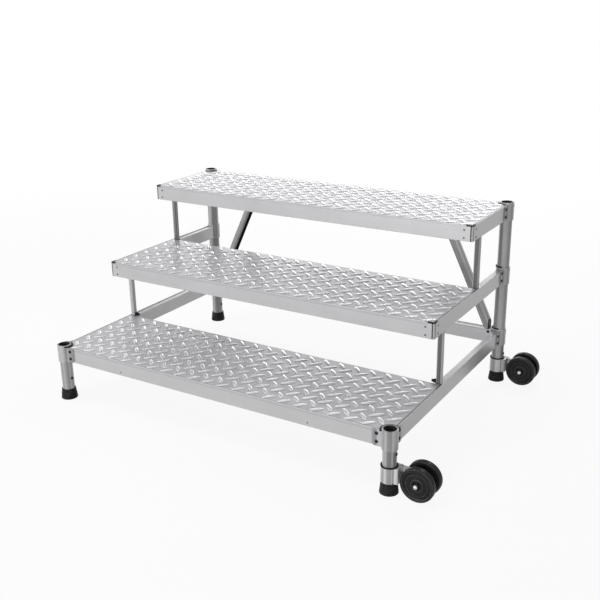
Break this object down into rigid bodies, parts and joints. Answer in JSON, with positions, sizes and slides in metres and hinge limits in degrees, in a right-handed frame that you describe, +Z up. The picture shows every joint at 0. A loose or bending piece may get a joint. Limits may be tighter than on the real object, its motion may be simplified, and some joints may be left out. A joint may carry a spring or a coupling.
{
  "type": "rolling step ladder",
  "caption": "Wide aluminium step platform with checker plate treads on tube legs with rubber feet, and twin wheels beside the right-hand legs for rolling it sideways.",
  "frame": {"origin": "on the floor below the middle of the overall box, wheels included", "axes": "+X to the right across the steps, towards the wheels; +Y from the front step to the back; +Z up"},
  "size_m": [1.3638, 0.9246, 0.631],
  "materials": {
    "rail": "satin extruded",
    "tread_plate": "rolled checker plate",
    "tube": "drawn, lightly brushed",
    "socket": "satin extruded",
    "bracket": "satin",
    "black_plastic": "moulded",
    "black_rubber": "moulded, ribbed",
    "wheel": "moulded",
    "axle": "turned"
  },
  "bodies": {
    "frame": {"axle_front": "axle", "axle_rear": "axle", "brace_end_left": "black_plastic", "brace_end_right": "black_plastic", "brace_left": "rail", "brace_right": "rail", "bracket_liner_front": "black_plastic", "bracket_liner_rear": "black_plastic", "corner_caps": "black_plastic", "corner_left_middle": "rail", "corner_left_top": "rail", "corner_right_middle": "rail", "corner_right_top": "rail", "cross_rail_bottom": "rail", "cross_rail_middle": "rail", "foot_front_left": "black_rubber", "foot_front_right": "black_rubber", "foot_rear_left": "black_rubber", "foot_rear_right": "black_rubber", "front_rail_bottom": "rail", "front_rail_middle": "rail", "front_rail_top": "rail", "leg_front_left": "tube", "leg_front_right": "tube", "leg_rear_left": "tube", "leg_rear_right": "tube", "post_left_bottom": "tube", "post_left_middle": "tube", "post_right_bottom": "tube", "post_right_middle": "tube", "rear_rail_bottom": "rail", "rear_rail_top": "rail", "side_rail_left_bottom": "rail", "side_rail_left_middle": "rail", "side_rail_left_top": "rail", "side_rail_right_bottom": "rail", "side_rail_right_middle": "rail", "side_rail_right_top": "rail", "socket_fillers": "black_plastic", "socket_front_left": "socket", "socket_front_right": "socket", "socket_rear_left_bottom": "socket", "socket_rear_left_middle": "socket", "socket_rear_left_top": "socket", "socket_rear_right_bottom": "socket", "socket_rear_right_middle": "socket", "socket_rear_right_top": "socket", "tread_bottom": "tread_plate", "tread_middle": "tread_plate", "tread_top": "tread_plate", "wheel_bracket_front": "bracket", "wheel_bracket_rear": "bracket"},
    "front_wheels": {"wheels_front": "wheel"},
    "rear_wheels": {"wheels_rear": "wheel"}
  },
  "joints": [
    {"name": "front_wheels_turn", "type": "hinge", "parent": "frame", "child": "front_wheels", "pos_m": [0.63193, -0.4193, 0.051], "axis": [0, 1, 0], "continuous": true},
    {"name": "rear_wheels_turn", "type": "hinge", "parent": "frame", "child": "rear_wheels", "pos_m": [0.63193, 0.4267, 0.051], "axis": [0, 1, 0], "continuous": true}
  ]
}
